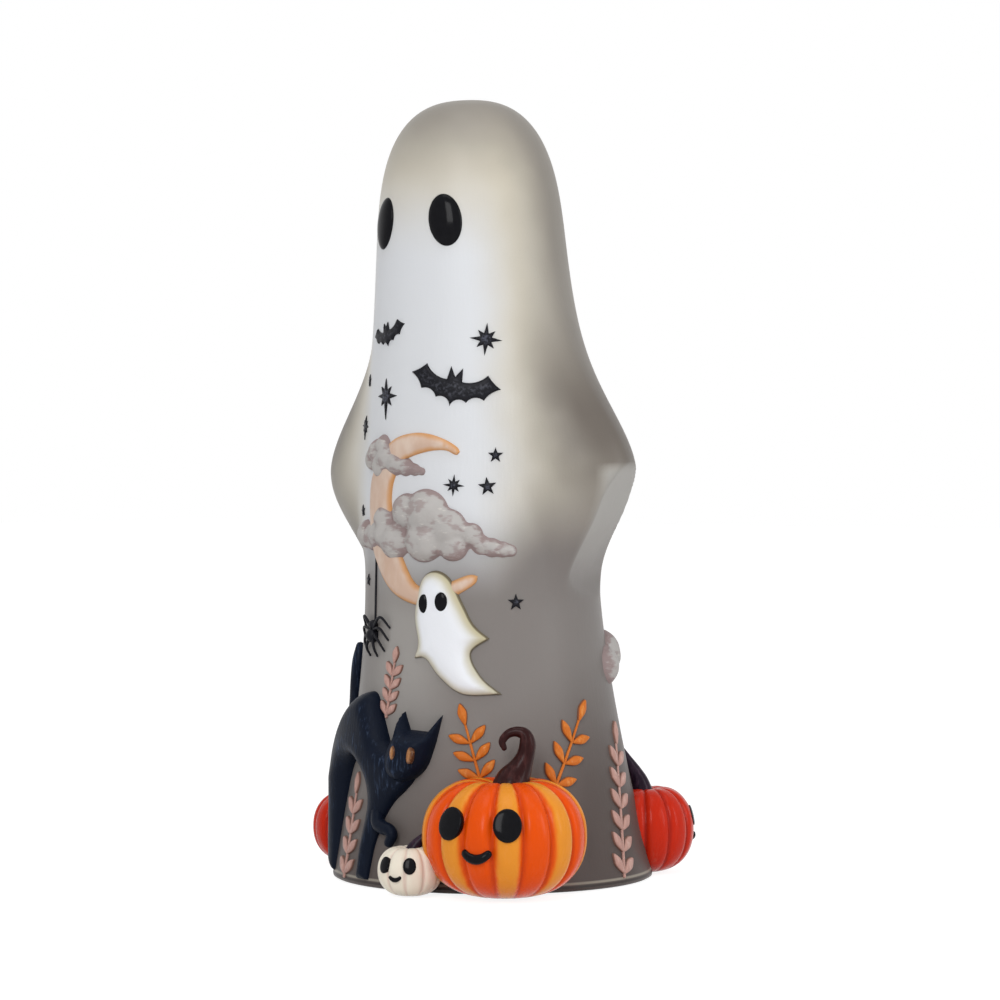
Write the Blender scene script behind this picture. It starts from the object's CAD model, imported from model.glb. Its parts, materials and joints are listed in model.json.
import json
import math

import bpy
import numpy as np
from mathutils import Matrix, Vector, noise
from mathutils.geometry import delaunay_2d_cdt


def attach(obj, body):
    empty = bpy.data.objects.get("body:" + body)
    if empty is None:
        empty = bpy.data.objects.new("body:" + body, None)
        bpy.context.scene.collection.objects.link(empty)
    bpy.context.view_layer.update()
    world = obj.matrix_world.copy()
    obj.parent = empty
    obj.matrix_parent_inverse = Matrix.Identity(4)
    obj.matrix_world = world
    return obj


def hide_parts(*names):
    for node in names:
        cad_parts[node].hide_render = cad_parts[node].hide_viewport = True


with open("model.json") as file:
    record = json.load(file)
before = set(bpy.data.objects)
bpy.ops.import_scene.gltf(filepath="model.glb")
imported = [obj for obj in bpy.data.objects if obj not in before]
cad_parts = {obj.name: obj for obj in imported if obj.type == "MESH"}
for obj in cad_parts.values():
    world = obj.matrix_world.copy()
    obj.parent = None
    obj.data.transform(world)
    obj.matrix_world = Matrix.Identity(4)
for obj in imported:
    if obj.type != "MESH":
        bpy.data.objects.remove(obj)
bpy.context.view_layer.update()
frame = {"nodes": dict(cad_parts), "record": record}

# Sizes are in millimetres, and meshes are written in metres
MM = 0.001

# Ghost body: levels along its leaning middle line, bearings in degrees from the front towards +X
HEIGHT = 296.5
HEM_RADIUS = 61.7
WAIST_RADIUS = 45.2
WAIST_LEVEL = 104.5
HEAD_RADIUS = 34.6
HEAD_LEVEL = 262.0
FLARE_LEVEL = 100.0
FLARE_POWER = 1.6
DOME_RISE = 60.6
DOME_POWER = 3.4
DOME_ROUND = 2.6
LEAN = 15.0
WALL = 4.5
FOOT_ROUND = 1.4
TILT = math.atan2(LEAN, HEIGHT)

# Arms: a soft lobe on each side, with a flat panel, like hanging cloth, behind a crease below the hand
ARM_REACH = 30.9
ARM_LEVEL = 156.0
ARM_FRONT = 23.5
ARM_FRONT_POWER = 1.9
ARM_BACK = 37.0
ARM_BACK_POWER = 1.4
SHOULDER_RISE = 39.5
SHOULDER_POWER = 1.75
SLEEVE_DROP = 53.0
SLEEVE_POWER = 2.1
CREASE_BEARING = 82.0
PANEL_BEARING = 108.0
PANEL_TOP = 0.05
PANEL_START = 0.3
PANEL_FADE = 0.70
PANEL_FOOT = 0.98
PANEL_LIFT = 7.0
PANEL_HALF = 45.0

# Armpit fold: a soft groove that runs down and back from the chest
FOLD_BEARING = 66.0
FOLD_SLANT = 0.32
FOLD_LEVEL = 137.0
FOLD_HALF = 19.0
FOLD_WIDTH = 4.6
FOLD_DEPTH = 1.3

# Sleeve paint: a soft edge at the crease, then the bearings and levels between which it fades in or out
SLEEVE_EDGE = 1.5
SLEEVE_BACK = (142.0, 108.0)
SLEEVE_TOP = (ARM_LEVEL + 3.0, ARM_LEVEL - 1.0)

# Mesh steps of the body: columns, rows outside and inside, the share of rows below the dome, how the others
# crowd to the crown, the rows of the rounded foot, and the rounds that settle a point on the skin
BODY_COLUMNS = 288
BODY_ROWS = 200
INNER_ROWS = 60
SIDE_SHARE = 0.78
DOME_EASE = 0.9
FOOT_ROWS = (0.35 * FOOT_ROUND, FOOT_ROUND)
SETTLE_ROUNDS = 16

# Mesh steps of the raised trim in shares of its spacing, how far it goes into the skin, and a tube's round
# ends in shares of its radius
ROW_PITCH = 0.866
ROW_ROOM = 0.4
RING_ROOM = 0.85
EDGE_STEP = 0.6
RELIEF_SINK = 0.5
CAP_REACH = 0.5
CAP_RADIUS = 0.75
CAP_END = 0.8

# Lengths that count as nothing and as one point, and the slope from which a line counts as upright
TINY = 1e-9
ONE_POINT = 1e-5
UPRIGHT = 0.9


def ramp(value, low, high):
    """Straight rise from 0 at low to 1 at high, or down again where low is above high."""
    return np.clip((value - low) / (high - low), 0, 1)


def core_radius(level):
    """Radius of the round body at a level along its leaning middle line."""
    taper = (WAIST_RADIUS - HEAD_RADIUS) / (HEAD_LEVEL - WAIST_LEVEL)
    straight = HEAD_RADIUS + taper * (HEAD_LEVEL - level)
    flare = HEM_RADIUS - HEAD_RADIUS - taper * HEAD_LEVEL
    spread = flare * np.clip(1 - level / FLARE_LEVEL, 0, None) ** FLARE_POWER
    rise = np.clip((level - HEIGHT + DOME_RISE) / DOME_RISE, 0, 1)
    return (straight + spread) * (1 - rise ** DOME_POWER) ** (1 / DOME_ROUND)


def arm_share(level):
    """How much of the arm's reach stands out at a level."""
    rise = np.clip(level - ARM_LEVEL, 0, None) / SHOULDER_RISE
    drop = np.clip((ARM_LEVEL - level) / SLEEVE_DROP, 0, 1)
    return np.exp(-rise ** SHOULDER_POWER) * np.cos(np.pi / 2 * drop) ** SLEEVE_POWER


def off_front(bearing):
    """Bearings folded to both sides alike, from 0 at the front to 180 at the back."""
    return np.abs((np.asarray(bearing, float) + 180) % 360 - 180)


def lobe_radius(bearing, level):
    """Radius of the body with its arms, before the panels flatten them."""
    side = off_front(bearing)
    front = np.clip(90 - side, 0, None) / ARM_FRONT
    back = np.clip(side - 90, 0, None) / ARM_BACK
    lobe = np.exp(-front ** ARM_FRONT_POWER - back ** ARM_BACK_POWER)
    slant = side - FOLD_BEARING + FOLD_SLANT * (level - FOLD_LEVEL)
    fold = np.exp(-(slant / FOLD_WIDTH) ** 2 - ((level - FOLD_LEVEL) / FOLD_HALF) ** 2)
    return core_radius(level) + ARM_REACH * arm_share(level) * lobe - FOLD_DEPTH * fold


def panel_radius(bearing, level):
    """Radius of the flat panel that hangs from the hand, far out where there is none."""
    side = off_front(bearing)
    drop = (ARM_LEVEL - level) / SLEEVE_DROP
    reach = lobe_radius(CREASE_BEARING, level) * math.cos(math.radians(PANEL_BEARING - CREASE_BEARING))
    fade = ramp(drop, PANEL_FADE, PANEL_FOOT)
    top = np.clip(1 - (drop + PANEL_TOP) / PANEL_START, 0, 1)
    turn = np.clip(side - PANEL_BEARING, -PANEL_HALF, PANEL_HALF)
    panel = (reach + PANEL_LIFT * (fade ** 2 + top ** 2)) / np.cos(np.radians(turn))
    hangs = (drop > -PANEL_TOP) & (drop < PANEL_FOOT) & (np.abs(turn) < PANEL_HALF)
    return np.where(hangs, panel, 2 * HEIGHT)


def skin_radius(bearing, level):
    """Distance from the leaning middle line to the skin."""
    return np.minimum(lobe_radius(bearing, level), panel_radius(bearing, level))


def lean(x, y, z):
    """Points of the upright body, leant forward."""
    return np.stack([x, y * math.cos(TILT) - z * math.sin(TILT), y * math.sin(TILT) + z * math.cos(TILT)], -1)


def skin(bearing, level, lift=0.0):
    """Points on the skin, or lifted off it."""
    angle = np.radians(bearing)
    radius = skin_radius(bearing, level) + lift
    return lean(radius * np.sin(angle), -radius * np.cos(angle), level)


def skin_at(bearing, height, lift=0.0):
    """Points on the skin by their height above the floor."""
    forward = core_radius(height) * np.cos(np.radians(bearing))
    return skin(bearing, height + forward * math.tan(TILT), lift)


def bearing_and_level(points):
    """Bearings, levels and distances from the middle line of points in the frame."""
    x, y, z = points.T
    out = y * math.cos(TILT) + z * math.sin(TILT)
    level = z * math.cos(TILT) - y * math.sin(TILT)
    return np.degrees(np.arctan2(x, -out)), level, np.hypot(x, out)


def settle(points, out, lift):
    """Slide points along a direction until they lie on the skin, then lift them off it."""
    for _ in range(SETTLE_ROUNDS):
        bearing, level, reach = bearing_and_level(points)
        points = points - np.outer(reach - skin_radius(bearing, level), out)
    bearing, level = bearing_and_level(points)[:2]
    return skin(bearing, level, lift)


class Spot:
    """A place on the skin with its own flat axes: across, up and out."""

    STEP = 2.0

    def __init__(self, bearing, height, turn=0.0):
        across = skin_at(bearing + self.STEP, height) - skin_at(bearing - self.STEP, height)
        up = skin_at(bearing, height + self.STEP) - skin_at(bearing, height - self.STEP)
        self.origin = skin_at(bearing, height)
        self.out = np.cross(across, up)
        self.out /= np.linalg.norm(self.out)
        across /= np.linalg.norm(across)
        upward = np.cross(self.out, across)
        angle = math.radians(turn)
        self.across = across * math.cos(angle) + upward * math.sin(angle)
        self.up = np.cross(self.out, self.across)

    def flat(self, outline):
        """Points of a flat outline in the frame, before they settle on the skin."""
        return self.origin + np.outer(outline[:, 0], self.across) + np.outer(outline[:, 1], self.up)

    def on_skin(self, outline, lift):
        """Points of a flat outline or line, settled on the skin and lifted."""
        return settle(self.flat(np.asarray(outline, float)), self.out, lift)


def smooth_line(points, steps=8, closed=False):
    """Smooth curve through points, open or closed."""
    points = np.asarray(points, float)
    if closed:
        padded = np.vstack([points[-1], points, points[0], points[1]])
    else:
        padded = np.vstack([2 * points[0] - points[1], points, 2 * points[-1] - points[-2]])
    share = np.linspace(0, 1, steps, endpoint=False)[:, None]
    spans = []
    for a, b, c, d in zip(padded, padded[1:], padded[2:], padded[3:]):
        bend = 2 * a - 5 * b + 4 * c - d
        spans.append(b + 0.5 * share * (c - a + share * (bend + share * (3 * (b - c) + d - a))))
    line = np.vstack(spans)
    return line if closed else np.vstack([line, points[-1]])


def arc_line(start, middle, end, steps=8):
    """Points on the arc through three points, without its end."""
    a, b, c = (complex(*point) for point in (start, middle, end))
    w = (c - a) / (b - a)
    centre = (b - a) * (w - abs(w) ** 2) / (2j * w.imag) + a
    sweep = np.angle((c - centre) / (a - centre))
    way = np.angle((b - centre) / (a - centre))
    if way * sweep < 0 or abs(way) > abs(sweep):
        sweep -= math.copysign(2 * math.pi, sweep)
    turned = centre + (a - centre) * np.exp(1j * sweep * np.linspace(0, 1, steps, endpoint=False))
    return np.stack([turned.real, turned.imag], -1)


def oval(width, height, corners=72):
    """Oval outline."""
    angle = np.linspace(0, 2 * np.pi, corners, endpoint=False)
    return np.stack([width / 2 * np.cos(angle), height / 2 * np.sin(angle)], -1)


def finer(outline, spacing):
    """Closed outline with no step longer than the spacing."""
    points = []
    for a, b in zip(outline, np.roll(outline, -1, axis=0)):
        count = max(1, math.ceil(np.linalg.norm(b - a) / spacing))
        points += [a + (b - a) * i / count for i in range(count)]
    return np.array(points)


def is_inside(points, outline):
    """Which flat points lie inside a closed outline."""
    a = outline
    b = np.roll(outline, -1, axis=0)
    x = points[:, :1]
    y = points[:, 1:]
    crosses = (a[:, 1] > y) != (b[:, 1] > y)
    rise = np.where(b[:, 1] == a[:, 1], 1, b[:, 1] - a[:, 1])
    at = a[:, 0] + (y - a[:, 1]) / rise * (b[:, 0] - a[:, 0])
    return np.sum(crosses & (x < at), axis=1) % 2 == 1


def edge_distance(points, outline):
    """Distance of flat points from a closed outline."""
    a = outline
    along = np.roll(outline, -1, axis=0) - a
    offset = points[:, None] - a
    share = np.clip(np.sum(offset * along, -1) / np.maximum(np.sum(along * along, -1), TINY), 0, 1)
    return np.linalg.norm(offset - share[..., None] * along, axis=-1).min(axis=1)


def fill(outline, spacing, rings):
    """Flat points and triangles that fill an outline, with extra rows near its edge."""
    low = outline.min(0) - spacing
    high = outline.max(0) + spacing
    columns = np.arange(low[0], high[0], spacing)
    x, y = np.meshgrid(columns, np.arange(low[1], high[1], spacing * ROW_PITCH))
    x = x + (np.arange(len(x)) % 2)[:, None] * spacing / 2
    grid = np.stack([x.ravel(), y.ravel()], -1)
    grid = grid[is_inside(grid, outline)]
    grid = grid[edge_distance(grid, outline) > max(rings) + ROW_ROOM * spacing]
    along = np.roll(outline, -1, axis=0) - np.roll(outline, 1, axis=0)
    length = np.maximum(np.linalg.norm(along, axis=1), TINY)
    inward = np.stack([-along[:, 1], along[:, 0]], -1) / length[:, None]
    rows = []
    for ring in rings:
        for side in (1, -1):
            row = outline + side * ring * inward
            row = row[is_inside(row, outline)]
            rows.append(row[edge_distance(row, outline) > RING_ROOM * ring])
    points = np.vstack([outline, *rows, grid])
    count = len(outline)
    edges = [(i, (i + 1) % count) for i in range(count)]
    found = delaunay_2d_cdt([Vector(point) for point in points], edges, [], 1, ONE_POINT)
    flat = np.array([tuple(vertex) for vertex in found[0]])
    faces = np.array([tuple(face) for face in found[2]])
    faces = faces[is_inside(flat[faces].mean(axis=1), outline)]
    return flat, faces


def close_up(top, under, faces):
    """Closed mesh of an upper skin, the same skin below it, and the wall between."""
    count = len(top)
    edges = {}
    for face in faces:
        for a, b in zip(face, np.roll(face, -1)):
            edges.setdefault((min(a, b), max(a, b)), []).append((a, b))
    wall = [(b, a, a + count, b + count) for runs in edges.values() if len(runs) == 1 for a, b in runs]
    shell = [tuple(face) for face in faces] + [tuple(face[::-1] + count) for face in faces] + wall
    return np.vstack([top, under]), shell


class Clay:
    """Vertices, faces and painted values of one piece while it is being made."""

    def __init__(self):
        self.points = np.zeros((0, 3))
        self.faces = []
        self.inset = np.zeros(0)
        self.place = np.zeros((0, 3))

    def join(self, points, faces, inset=None, place=None):
        """Add another lump to the piece."""
        base = len(self.points)
        self.points = np.vstack([self.points, points])
        self.faces += [tuple(int(i) + base for i in face) for face in faces]
        self.inset = np.append(self.inset, np.zeros(len(points)) if inset is None else inset)
        self.place = np.vstack([self.place, np.zeros((len(points), 3)) if place is None else place])
        return self

    def mesh(self, name):
        """Blender mesh in metres, with the painted values on its vertices."""
        made = bpy.data.meshes.new(name)
        made.from_pydata((self.points * MM).tolist(), [], self.faces)
        made.attributes.new("inset", "FLOAT", "POINT").data.foreach_set("value", self.inset)
        made.attributes.new("place", "FLOAT_VECTOR", "POINT").data.foreach_set("vector", self.place.ravel())
        made.polygons.foreach_set("use_smooth", [True] * len(made.polygons))
        made.update()
        return made


def show(name, clay, finish, slot, *nodes):
    """Put a finished piece on the figure in place of its CAD nodes."""
    piece = bpy.data.objects.new(name, clay.mesh(name))
    bpy.context.scene.collection.objects.link(piece)
    piece.data.materials.append(finish)
    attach(piece, "figure")
    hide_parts(*nodes)
    return piece


def relief(clay, spot, outline, profile, spacing, rings):
    """Raise an outline off the skin by a profile of its flat points and their distances to the edge."""
    outline = finer(outline, spacing * EDGE_STEP)
    flat, faces = fill(outline, spacing, rings)
    inset = edge_distance(flat, outline)
    rise = profile(flat, inset)
    top = spot.on_skin(flat, rise)
    under = spot.on_skin(flat, -RELIEF_SINK)
    points, shell = close_up(top, under, faces)
    place = np.column_stack([flat, rise])
    return clay.join(points, shell, np.tile(inset, 2), np.tile(place, (2, 1)))


def rounded(inset, reach):
    """Quarter round: 0 at the edge of a shape, 1 from a reach inwards."""
    return np.sqrt(1 - (1 - ramp(inset, 0, reach)) ** 2)


def soft_edge(height, edge, crown=0.0):
    """Profile that rises over a rounded edge, narrow or wide, and crowns slowly beyond it."""
    def profile(flat, inset):
        return height * rounded(inset, edge) + crown * inset / max(inset.max(), TINY)
    return profile


def tube(clay, points, radii, sides=14):
    """Round tube with rounded ends through points, each with its radius."""
    points = np.asarray(points, float)
    along = np.gradient(points, axis=0)
    along /= np.linalg.norm(along, axis=1)[:, None]
    side = np.cross(along[0], (0.0, 0.0, 1.0) if abs(along[0][2]) < UPRIGHT else (1.0, 0.0, 0.0))
    angle = np.linspace(0, 2 * np.pi, sides, endpoint=False)
    rings = []
    start = along[0] * radii[0]
    end = along[-1] * radii[-1]
    stations = [(points[0] - start * CAP_REACH, CAP_RADIUS * radii[0], 0)]
    stations += [(point, radius, i) for i, (point, radius) in enumerate(zip(points, radii))]
    stations += [(points[-1] + end * CAP_REACH, CAP_RADIUS * radii[-1], len(points) - 1)]
    for middle, radius, i in stations:
        side = side - along[i] * np.dot(side, along[i])
        side /= np.linalg.norm(side)
        other = np.cross(along[i], side)
        rings.append(middle + radius * (np.outer(np.cos(angle), side) + np.outer(np.sin(angle), other)))
    ends = [points[0] - start * CAP_END, points[-1] + end * CAP_END]
    share = np.repeat(np.linspace(0, 1, len(rings)), sides)
    return clay.join(np.vstack([*rings, *ends]), closed_faces(len(rings), sides), np.append(share, (0, 1)))


def closed_faces(rows, columns):
    """Quads between rings of points, and a fan at each end to the two points that follow the rings."""
    faces = []
    for i in range(rows - 1):
        for j in range(columns):
            k = (j + 1) % columns
            faces.append((i * columns + j, i * columns + k, (i + 1) * columns + k, (i + 1) * columns + j))
    first_end = rows * columns
    last = first_end - columns
    faces += [((j + 1) % columns, j, first_end) for j in range(columns)]
    faces += [(last + j, last + (j + 1) % columns, first_end + 1) for j in range(columns)]
    return faces


def dome(clay, origin, across, up, out, width, height, rise, sink, rows=10, columns=36):
    """Domed oval button on its own flat axes."""
    angle = np.linspace(0, 2 * np.pi, columns, endpoint=False)
    rim = np.outer(width / 2 * np.cos(angle), across) + np.outer(height / 2 * np.sin(angle), up)
    rings = [(1.0, -sink)]
    rings += [(math.cos(a), rise * math.sin(a)) for a in np.linspace(0, np.pi / 2, rows, endpoint=False)]
    points = []
    inset = []
    for share, lift in rings:
        points.append(origin + share * rim + lift * out)
        inset += [1 - share] * columns
    points.append([origin - sink * out, origin + rise * out])
    return clay.join(np.vstack(points), closed_faces(len(rings), columns), np.append(inset, (0, 1)))


class Value:
    """A socket of a finish, so that shader maths reads as Python."""

    def __init__(self, finish, socket):
        self.finish = finish
        self.socket = socket

    def maths(self, operation, *terms):
        return self.finish.add("ShaderNodeMath", {"operation": operation}, dict(enumerate(terms)))

    def __add__(self, other):
        return self.maths("ADD", self, other)

    def __sub__(self, other):
        return self.maths("SUBTRACT", self, other)

    def __rsub__(self, other):
        return self.maths("SUBTRACT", other, self)

    def __mul__(self, other):
        return self.maths("MULTIPLY", self, other)

    __radd__ = __add__
    __rmul__ = __mul__

    def step(self, low, high):
        """Soft step from 0 at low to 1 at high, or down again where low is above high."""
        ends = {0: self, 1: low, 2: high, 3: 0.0, 4: 1.0}
        return self.finish.add("ShaderNodeMapRange", {"interpolation_type": "SMOOTHSTEP"}, ends)


# Rays that see the white studio
SEEN_RAYS = ("Is Camera Ray", "Is Glossy Ray", "Is Transmission Ray")

# What all finishes share: a weak mirror, a thin coat and the strength of the bump
BASE_GLOSS = {"Specular_IOR_Level": 0.14, "Coat_IOR": 1.25}
BUMP_STRENGTH = 0.6


class Finish:
    """A procedural material, or the world, whose nodes are added by expressions."""

    def __init__(self, name, library=None, shader="Principled BSDF"):
        self.material = (bpy.data.materials if library is None else library).new(name)
        self.material.use_nodes = True
        self.nodes = self.material.node_tree.nodes
        self.links = self.material.node_tree.links
        self.shader = self.nodes[shader]

    def add(self, kind, settings=None, sockets=None, out=0):
        """Add a node: its settings first, then the values or links of its sockets."""
        node = self.nodes.new(kind)
        for key, setting in (settings or {}).items():
            setattr(node, key, setting)
        for key, value in (sockets or {}).items():
            self.set(node.inputs[key], value)
        return Value(self, node.outputs[out])

    def set(self, socket, value):
        """Give a socket a link or a value."""
        if isinstance(value, Value):
            self.links.new(value.socket, socket)
        else:
            socket.default_value = value

    def mix(self, under, over, share):
        """Colour that goes from one to another by a share."""
        colours = [colour if isinstance(colour, Value) else (*colour, 1.0) for colour in (under, over)]
        return self.add(
            "ShaderNodeMix", {"data_type": "RGBA"}, {0: share, 6: colours[0], 7: colours[1]}, out=2
        )

    def spot(self, stretch=(1.0, 1.0, 1.0)):
        """Position on the piece in millimetres, stretched along the axes."""
        place = self.add("ShaderNodeTexCoord", out=3)
        scale = tuple(s / MM for s in stretch)
        return self.add("ShaderNodeVectorMath", {"operation": "MULTIPLY"}, {0: place, 1: scale})

    def grain(self, size, detail=3.0, stretch=(1.0, 1.0, 1.0), rough=0.55):
        """Noise from 0 to 1 with lumps of a size in millimetres."""
        return self.add(
            "ShaderNodeTexNoise", None,
            {"Vector": self.spot(stretch), "Scale": 1.0 / size, "Detail": detail, "Roughness": rough},
        )

    def painted(self, name, part=None):
        """A value that the mesh carries: the inset, or a part of the place."""
        if part is None:
            return self.add("ShaderNodeAttribute", {"attribute_name": name}, out=2)
        place = self.add("ShaderNodeAttribute", {"attribute_name": name}, out=1)
        return self.add("ShaderNodeSeparateXYZ", None, {0: place}, out=part)

    def plainly_seen(self):
        """1 on rays from the camera and on mirrored and clear rays, 0 on the rays that light the figure."""
        rays = [self.add("ShaderNodeLightPath", out=name) for name in SEEN_RAYS]
        return self.add("ShaderNodeMath", {"operation": "MINIMUM"}, {0: rays[0] + rays[1] + rays[2], 1: 1.0})

    def finish(self, colour, rough, bump=None, depth=0.1, **sockets):
        """Join the colour, roughness and bump to the shader; other sockets get plain numbers."""
        self.set(self.shader.inputs["Base Color"], colour if isinstance(colour, Value) else (*colour, 1.0))
        self.set(self.shader.inputs["Roughness"], rough)
        if bump is not None:
            bumps = {"Strength": BUMP_STRENGTH, "Distance": depth * MM, "Height": bump}
            self.set(self.shader.inputs["Normal"], self.add("ShaderNodeBump", None, bumps))
        for name, value in {**BASE_GLOSS, **sockets}.items():
            self.shader.inputs[name.replace("_", " ")].default_value = value
        return self.material


# Paints, as linear colours
WHITE = (0.66, 0.675, 0.70)
CREAM = (0.56, 0.515, 0.42)
TAUPE = (0.235, 0.215, 0.19)
DARK_TAUPE = (0.115, 0.098, 0.085)
SLEEVE_GREY = (0.36, 0.35, 0.33)
LOW_GREY = (0.205, 0.188, 0.178)
HEM_GREY = (0.072, 0.054, 0.049)
PALE_GREY = (0.40, 0.385, 0.365)
BLACK = (0.003, 0.003, 0.004)
BLACK_SHEEN = (0.008, 0.008, 0.010)
TRIM_BLACK = (0.005, 0.005, 0.008)
TRIM_WORN = (0.05, 0.052, 0.065)
STAR_WORN = (0.07, 0.075, 0.10)
PEACH = (0.58, 0.41, 0.315)
PEACH_PALE = (0.66, 0.53, 0.44)
PEACH_EDGE = (0.58, 0.27, 0.085)
MAUVE = (0.28, 0.215, 0.21)
CLOUD_WHITE = (0.44, 0.425, 0.41)
CLOUD_STROKE = (0.62, 0.60, 0.55)
SHEET_WHITE = (0.78, 0.80, 0.84)
OLIVE = (0.46, 0.405, 0.235)
OUTLINE_BROWN = (0.09, 0.07, 0.045)
CAT_BLUE = (0.004, 0.007, 0.016)
CAT_STROKE = (0.034, 0.052, 0.095)
CAT_SHINE = (0.11, 0.14, 0.20)
AMBER = (0.36, 0.15, 0.05)
AMBER_RIM = (0.09, 0.035, 0.015)
AMBER_PALE = (0.46, 0.23, 0.09)
ORANGE = (0.72, 0.075, 0.002)
ORANGE_DEEP = (0.50, 0.040, 0.002)
YELLOW = (0.74, 0.30, 0.030)
CREAM_PUMPKIN = (0.82, 0.76, 0.64)
MAUVE_RIB = (0.66, 0.46, 0.40)
RED = (0.52, 0.021, 0.005)
RED_DEEP = (0.22, 0.008, 0.006)
RIB_SHINE = (0.85, 0.55, 0.34)
MAROON = (0.024, 0.006, 0.006)
MAROON_RIDGE = (0.060, 0.020, 0.019)
PLUM = (0.016, 0.008, 0.018)
PLUM_RIDGE = (0.05, 0.026, 0.045)
LEAF_ORANGE = (0.56, 0.145, 0.016)
LEAF_ORANGE_PALE = (0.66, 0.24, 0.05)
LEAF_PINK = (0.46, 0.27, 0.23)
LEAF_PINK_PALE = (0.56, 0.37, 0.32)
LEAF_DARK = (0.13, 0.065, 0.045)

# Airbrushed bands of the body, each by the two ends of its fade: FLANK and FRONT in quarter turns from the
# front, the others as heights in millimetres, with how far some rise towards the flanks and how all drift
CREAM_FLANK = (0.40, 0.78)
CREAM_CROWN = (232.0, 274.0)
TAUPE_FLANK = (0.62, 1.12)
TAUPE_CROWN = (258.0, 296.0)
SHOULDER_FOOT = (130.0, 168.0)
SHOULDER_TOP = (226.0, 176.0)
SHOULDER_FLANK = (0.64, 0.92)
GREY_TOP = (104.0, 143.0)
GREY_NEAR_FLANK = (0.05, 0.40)
GREY_NEAR_RISE = 3.0
GREY_FAR_FLANK = (0.50, 0.80)
GREY_FAR_RISE = 13.0
PALE_FRONT = (0.40, 0.05)
PALE_FOOT = (48.0, 84.0)
PALE_TOP = (130.0, 96.0)
SLEEVE_LEVELS = (106.0, 146.0)
HEM_FLANK = (0.4, 0.95)
HEM_RISE = 34.0
HEM_TOP = (64.0, -8.0)
MIST_FLANK = (0.2, 0.9)
DRIFT_SIZE = 34.0
DRIFT_ROUND = 0.16
DRIFT_UP = 14.0

# Painted lines round the foot: colour, lower edge, upper edge and strength
FOOT_LINES = (
    (CREAM, (2.3, 2.7), (3.6, 3.1), 0.4),
    (BLACK, (1.1, 1.5), (2.3, 1.9), 0.5),
)


def satin_glaze():
    """White glaze with taupe airbrushed over the sides, the shoulders and the hem."""
    paint = Finish("satin_glaze")
    side = paint.painted("place", 0)
    level = paint.painted("place", 1)
    sleeve = paint.painted("place", 2)
    drift = paint.grain(DRIFT_SIZE, 2.0) - 0.5
    mist = paint.grain(0.55, 2.0) - 0.5
    flank = side + drift * DRIFT_ROUND
    tall = level + drift * DRIFT_UP
    colour = paint.mix(WHITE, CREAM, flank.step(*CREAM_FLANK) * 0.9)
    colour = paint.mix(colour, CREAM, tall.step(*CREAM_CROWN) * 0.9)
    colour = paint.mix(colour, TAUPE, flank.step(*TAUPE_FLANK) * 0.95)
    colour = paint.mix(colour, TAUPE, tall.step(*TAUPE_CROWN) * 0.95)
    shoulder = tall.step(*SHOULDER_FOOT) * tall.step(*SHOULDER_TOP) * flank.step(*SHOULDER_FLANK)
    colour = paint.mix(colour, DARK_TAUPE, shoulder * (1 - sleeve) * 0.9)
    near_rise = side.step(*GREY_NEAR_FLANK) * GREY_NEAR_RISE
    above_grey = tall - near_rise - side.step(*GREY_FAR_FLANK) * GREY_FAR_RISE
    colour = paint.mix(LOW_GREY, colour, above_grey.step(*GREY_TOP))
    pale = side.step(*PALE_FRONT) * tall.step(*PALE_FOOT) * tall.step(*PALE_TOP)
    colour = paint.mix(colour, PALE_GREY, pale * 0.55)
    colour = paint.mix(colour, SLEEVE_GREY, sleeve * tall.step(*SLEEVE_LEVELS) * 0.9)
    hem = tall - flank.step(*HEM_FLANK) * HEM_RISE
    colour = paint.mix(colour, HEM_GREY, hem.step(*HEM_TOP) * 0.9)
    colour = paint.mix(colour, DARK_TAUPE, mist.step(0.10, 0.5) * flank.step(*MIST_FLANK) * 0.35)
    for tone, lower, upper, strength in FOOT_LINES:
        colour = paint.mix(colour, tone, level.step(*lower) * level.step(*upper) * strength)
    weave = paint.grain(1.3, 2.0, (1.0, 1.0, 0.12))
    rough = 0.40 + 0.10 * paint.grain(5.0)
    return paint.finish(colour, rough, weave + mist * 0.5, 0.10, Coat_Weight=0.12, Coat_Roughness=0.28)


def gloss_black():
    """Black enamel."""
    paint = Finish("gloss_black")
    colour = paint.mix(BLACK, BLACK_SHEEN, paint.grain(2.4))
    rough = 0.10 + 0.06 * paint.grain(3.0)
    return paint.finish(colour, rough, paint.grain(4.0), 0.05, Specular_IOR_Level=0.06, Coat_Weight=0.06)


def trim_black():
    """Black paint that is thin and grey in the middle of a shape."""
    paint = Finish("trim_black")
    worn = paint.painted("inset").step(0.5, 2.4) * paint.grain(1.1).step(0.42, 0.72)
    colour = paint.mix(TRIM_BLACK, TRIM_WORN, worn)
    return paint.finish(colour, 0.36 + 0.16 * paint.grain(1.6), paint.grain(0.8), 0.06)


def star_black():
    """Black paint that is worn greyer, for the small stars."""
    paint = Finish("star_black")
    worn = paint.painted("inset").step(0.35, 1.1) * paint.grain(0.8).step(0.38, 0.66)
    colour = paint.mix(TRIM_BLACK, STAR_WORN, worn)
    return paint.finish(colour, 0.40 + 0.14 * paint.grain(1.6), paint.grain(0.8), 0.05)


def moon_peach():
    """Peach wash, orange where it pools at the edges."""
    paint = Finish("moon_peach")
    wash = paint.grain(7.0, 3.0, (1.0, 1.0, 0.5))
    pool = (paint.painted("inset") + (wash - 0.5) * 1.4).step(2.1, 0.1)
    colour = paint.mix(PEACH, PEACH_PALE, wash.step(0.36, 0.70) * 0.9)
    colour = paint.mix(colour, PEACH_EDGE, pool * 0.85)
    return paint.finish(colour, 0.44 + 0.12 * wash, paint.grain(1.4), 0.08, Coat_Weight=0.1)


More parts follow.
